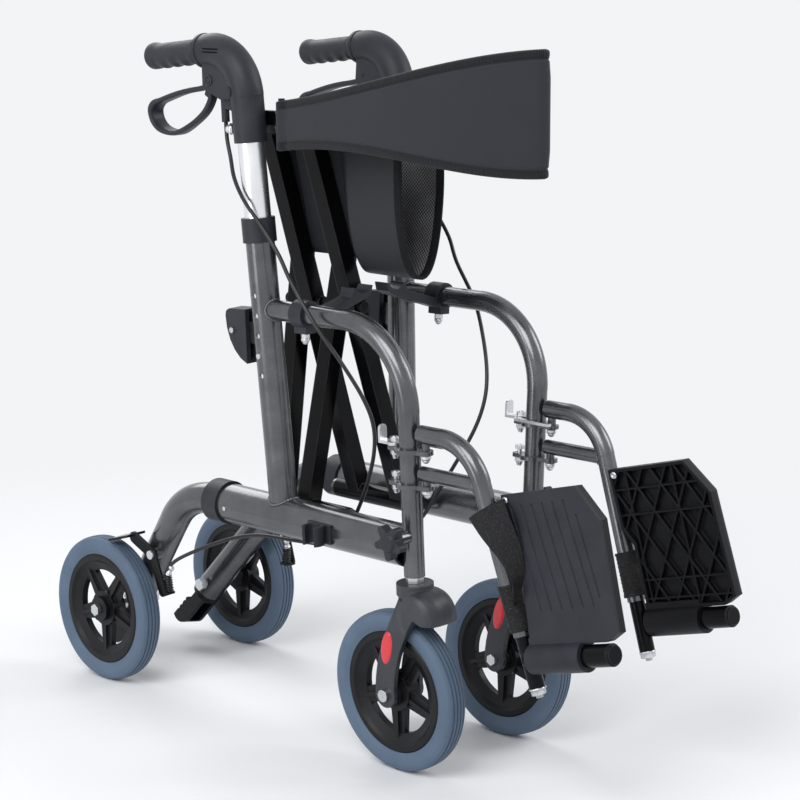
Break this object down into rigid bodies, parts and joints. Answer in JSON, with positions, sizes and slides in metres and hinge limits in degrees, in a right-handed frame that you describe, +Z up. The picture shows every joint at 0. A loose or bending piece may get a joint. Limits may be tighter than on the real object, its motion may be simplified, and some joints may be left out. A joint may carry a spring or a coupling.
{
  "type": "rollator transport chair",
  "caption": "Folding rollator that turns into a transport chair: side frames on a scissor brace, sling seat, flip-over back band, loop brakes, swing-away footrests with flip-up plates.",
  "frame": {"origin": "on the floor under the middle of the folded part's bounding box", "axes": "+Z up, -Y the way the chair faces, +X to the seated person's left"},
  "size_m": [0.3066, 0.9974, 0.8824],
  "materials": {
    "frame_paint": "satin metallic gunmetal paint",
    "black_steel": "gloss black powder coat",
    "silver_tube": "satin silver",
    "zinc": "bright zinc plate",
    "black_plastic": "fine-grained black moulding",
    "grip_rubber": "ribbed soft rubber",
    "cable_rubber": "smooth black cable jacket",
    "tyre": "matte grey-blue solid tyre",
    "fabric": "black woven nylon with bound edges"
  },
  "bodies": {
    "right_frame": {"side_frame_right": "frame_paint", "arm_tube_right": "frame_paint", "rear_leg_right": "frame_paint", "frame_fittings_right": "black_plastic", "hanger_clamps_right": "frame_paint", "kerb_pedal_right": "black_plastic", "frame_bolts_right": "zinc", "brake_cable_right": "cable_rubber"},
    "right_handle": {"handle_tube_right": "silver_tube", "handle_housing_right": "black_plastic", "grip_right": "grip_rubber"},
    "right_brake_lever": {"brake_lever_right": "black_plastic"},
    "right_brake_arm": {"brake_arm_right": "black_steel"},
    "right_height_lever": {"height_lever_right": "black_plastic"},
    "right_star_knob": {"star_knob_right": "black_plastic"},
    "right_rear_wheel": {"rear_tyre_right": "tyre", "rear_rim_right": "black_plastic"},
    "right_caster": {"caster_fork_right": "black_plastic", "caster_stem_right": "zinc"},
    "right_front_wheel": {"front_tyre_right": "tyre", "front_rim_right": "black_plastic"},
    "right_hanger": {"hanger_tube_right": "frame_paint", "extension_tube_right": "black_steel", "heel_strap_right": "fabric"},
    "right_footplate": {"footplate_right": "black_plastic"},
    "right_latch": {"hanger_latch_right": "zinc"},
    "right_band_arm": {"band_arm_right": "black_plastic"},
    "left_frame": {"side_frame_left": "frame_paint", "arm_tube_left": "frame_paint", "rear_leg_left": "frame_paint", "frame_fittings_left": "black_plastic", "hanger_clamps_left": "frame_paint", "kerb_pedal_left": "black_plastic", "frame_bolts_left": "zinc", "brake_cable_left": "cable_rubber"},
    "left_handle": {"handle_tube_left": "silver_tube", "handle_housing_left": "black_plastic", "grip_left": "grip_rubber"},
    "left_brake_lever": {"brake_lever_left": "black_plastic"},
    "left_brake_arm": {"brake_arm_left": "black_steel"},
    "left_height_lever": {"height_lever_left": "black_plastic"},
    "left_star_knob": {"star_knob_left": "black_plastic"},
    "left_rear_wheel": {"rear_tyre_left": "tyre", "rear_rim_left": "black_plastic"},
    "left_caster": {"caster_fork_left": "black_plastic", "caster_stem_left": "zinc"},
    "left_front_wheel": {"front_tyre_left": "tyre", "front_rim_left": "black_plastic"},
    "left_hanger": {"hanger_tube_left": "frame_paint", "extension_tube_left": "black_steel", "heel_strap_left": "fabric"},
    "left_footplate": {"footplate_left": "black_plastic"},
    "left_latch": {"hanger_latch_left": "zinc"},
    "left_band_arm": {"band_arm_left": "black_plastic"},
    "brace_a": {"brace_a": "black_steel"},
    "brace_b": {"brace_b": "black_steel"},
    "seat_right": {"seat_sling_right": "fabric"},
    "band_right": {"back_band_right": "fabric"},
    "seat_left": {"seat_sling_left": "fabric"},
    "band_left": {"back_band_left": "fabric"}
  },
  "joints": [
    {"name": "fold", "type": "hinge", "parent": "right_frame", "child": "brace_a", "pos_m": [-0.055, 0.05862, 0.285], "axis": [0, 1, 0], "range_deg": [0, 41.41], "deforming": ["seat_sling_right", "seat_sling_left", "back_band_right", "back_band_left"]},
    {"name": "brace_cross", "type": "hinge", "parent": "brace_a", "child": "brace_b", "pos_m": [0, 0.05862, 0.54166], "axis": [0, 1, 0], "range_deg": [-82.91, 0.1]},
    {"name": "left_fold", "type": "hinge", "parent": "brace_b", "child": "left_frame", "pos_m": [0.055, 0.05862, 0.285], "axis": [0, 1, 0], "range_deg": [-0.1, 41.51]},
    {"name": "seat_right_turn", "type": "hinge", "parent": "brace_b", "child": "seat_right", "pos_m": [-0.04821, 0.01262, 0.76665], "axis": [0, 1, 0], "range_deg": [-28.51, 1]},
    {"name": "seat_left_turn", "type": "hinge", "parent": "seat_right", "child": "seat_left", "pos_m": [0, 0.01262, 0.587], "axis": [0, 1, 0], "range_deg": [-1, 138.83]},
    {"name": "right_handle_height", "type": "slide", "parent": "right_frame", "child": "right_handle", "axis": [-0.047, 0.061, 0.997], "range_m": [-0.075, 0.05], "deforming": ["brake_cable_right"]},
    {"name": "right_band_flip", "type": "hinge", "parent": "right_handle", "child": "right_band_arm", "pos_m": [-0.1, 0.09062, 0.78], "axis": [-1, 0, 0], "range_deg": [0, 178]},
    {"name": "right_brake_squeeze", "type": "hinge", "parent": "right_handle", "child": "right_brake_lever", "pos_m": [-0.1302, 0.13762, 0.82519], "axis": [0.9989, 0, 0.0471], "range_deg": [0, 10]},
    {"name": "right_brake_press", "type": "hinge", "parent": "right_frame", "child": "right_brake_arm", "pos_m": [-0.11732, 0.30262, 0.1911], "axis": [-0.9989, 0, -0.0471], "range_deg": [0, 1.3]},
    {"name": "right_height_release", "type": "hinge", "parent": "right_frame", "child": "right_height_lever", "pos_m": [-0.11564, 0.11662, 0.51654], "axis": [0.9989, 0, 0.0471], "range_deg": [0, 10]},
    {"name": "right_knob_turn", "type": "hinge", "parent": "right_frame", "child": "right_star_knob", "pos_m": [-0.13539, -0.17938, 0.29836], "axis": [-0.9989, 0, -0.0471], "continuous": true},
    {"name": "right_rear_spin", "type": "hinge", "parent": "right_frame", "child": "right_rear_wheel", "pos_m": [-0.1215, 0.39862, 0.1], "axis": [1, 0, 0], "continuous": true},
    {"name": "right_caster_swivel", "type": "hinge", "parent": "right_frame", "child": "right_caster", "pos_m": [-0.10307, -0.17938, 0.24983], "axis": [-0.0471, 0, 0.9989], "continuous": true},
    {"name": "right_front_spin", "type": "hinge", "parent": "right_caster", "child": "right_front_wheel", "pos_m": [-0.096, -0.14638, 0.1], "axis": [0.9989, 0, 0.0471], "continuous": true},
    {"name": "right_hanger_swing", "type": "hinge", "parent": "right_frame", "child": "right_hanger", "pos_m": [-0.10966, -0.20538, 0.38968], "axis": [0.0471, 0, -0.9989], "range_deg": [0, 90]},
    {"name": "right_latch_turn", "type": "hinge", "parent": "right_frame", "child": "right_latch", "pos_m": [-0.11051, -0.15438, 0.40766], "axis": [-0.0471, 0, 0.9989], "range_deg": [0, 20]},
    {"name": "right_plate_flip", "type": "hinge", "parent": "right_hanger", "child": "right_footplate", "pos_m": [-0.10509, -0.35938, 0.18667], "axis": [0.0118, 0.9681, -0.2501], "range_deg": [0, 86], "deforming": ["heel_strap_right"]},
    {"name": "left_handle_height", "type": "slide", "parent": "left_frame", "child": "left_handle", "axis": [0.047, 0.061, 0.997], "range_m": [-0.075, 0.05], "deforming": ["brake_cable_left"]},
    {"name": "left_band_flip", "type": "hinge", "parent": "left_handle", "child": "left_band_arm", "pos_m": [0.1, 0.09062, 0.78], "axis": [-1, 0, 0], "range_deg": [0, 178]},
    {"name": "left_brake_squeeze", "type": "hinge", "parent": "left_handle", "child": "left_brake_lever", "pos_m": [0.1302, 0.13762, 0.82519], "axis": [0.9989, 0, -0.0471], "range_deg": [0, 10]},
    {"name": "left_brake_press", "type": "hinge", "parent": "left_frame", "child": "left_brake_arm", "pos_m": [0.11732, 0.30262, 0.1911], "axis": [-0.9989, 0, 0.0471], "range_deg": [0, 1.3]},
    {"name": "left_height_release", "type": "hinge", "parent": "left_frame", "child": "left_height_lever", "pos_m": [0.11564, 0.11662, 0.51654], "axis": [0.9989, 0, -0.0471], "range_deg": [0, 10]},
    {"name": "left_knob_turn", "type": "hinge", "parent": "left_frame", "child": "left_star_knob", "pos_m": [0.13539, -0.17938, 0.29836], "axis": [0.9989, 0, -0.0471], "continuous": true},
    {"name": "left_rear_spin", "type": "hinge", "parent": "left_frame", "child": "left_rear_wheel", "pos_m": [0.1215, 0.39862, 0.1], "axis": [1, 0, 0], "continuous": true},
    {"name": "left_caster_swivel", "type": "hinge", "parent": "left_frame", "child": "left_caster", "pos_m": [0.10307, -0.17938, 0.24983], "axis": [0.0471, 0, 0.9989], "continuous": true},
    {"name": "left_front_spin", "type": "hinge", "parent": "left_caster", "child": "left_front_wheel", "pos_m": [0.096, -0.14638, 0.1], "axis": [0.9989, 0, -0.0471], "continuous": true},
    {"name": "left_hanger_swing", "type": "hinge", "parent": "left_frame", "child": "left_hanger", "pos_m": [0.10966, -0.20538, 0.38968], "axis": [0.0471, 0, 0.9989], "range_deg": [0, 90]},
    {"name": "left_latch_turn", "type": "hinge", "parent": "left_frame", "child": "left_latch", "pos_m": [0.11051, -0.15438, 0.40766], "axis": [-0.0471, 0, -0.9989], "range_deg": [0, 20]},
    {"name": "left_plate_flip", "type": "hinge", "parent": "left_hanger", "child": "left_footplate", "pos_m": [0.10509, -0.35938, 0.18667], "axis": [0.0118, -0.9681, 0.2501], "range_deg": [0, 86], "deforming": ["heel_strap_left"]},
    {"name": "band_right_open", "type": "hinge", "parent": "right_band_arm", "child": "band_right", "pos_m": [-0.1, 0.05062, 0.78], "axis": [0, 0, 1], "range_deg": [-0.5, 30.13]},
    {"name": "band_left_open", "type": "hinge", "parent": "band_right", "child": "band_left", "pos_m": [0, -0.29138, 0.792], "axis": [0, 0, 1], "range_deg": [-59.76, 0.5]}
  ],
  "couplings": [
    {"joint": "brace_cross", "follows": "fold", "ratio": -2},
    {"joint": "left_fold", "follows": "fold", "ratio": 1},
    {"joint": "seat_right_turn", "follows": "fold", "ratio": -0.66447},
    {"joint": "seat_left_turn", "follows": "fold", "ratio": 3.3289},
    {"joint": "right_brake_press", "follows": "right_brake_squeeze", "ratio": 0.13},
    {"joint": "left_brake_press", "follows": "left_brake_squeeze", "ratio": 0.13},
    {"joint": "left_handle_height", "follows": "right_handle_height", "ratio": 1},
    {"joint": "left_band_flip", "follows": "right_band_flip", "ratio": 1},
    {"joint": "band_right_open", "follows": "fold", "ratio": 0.71558},
    {"joint": "band_left_open", "follows": "fold", "ratio": -1.4311}
  ]
}
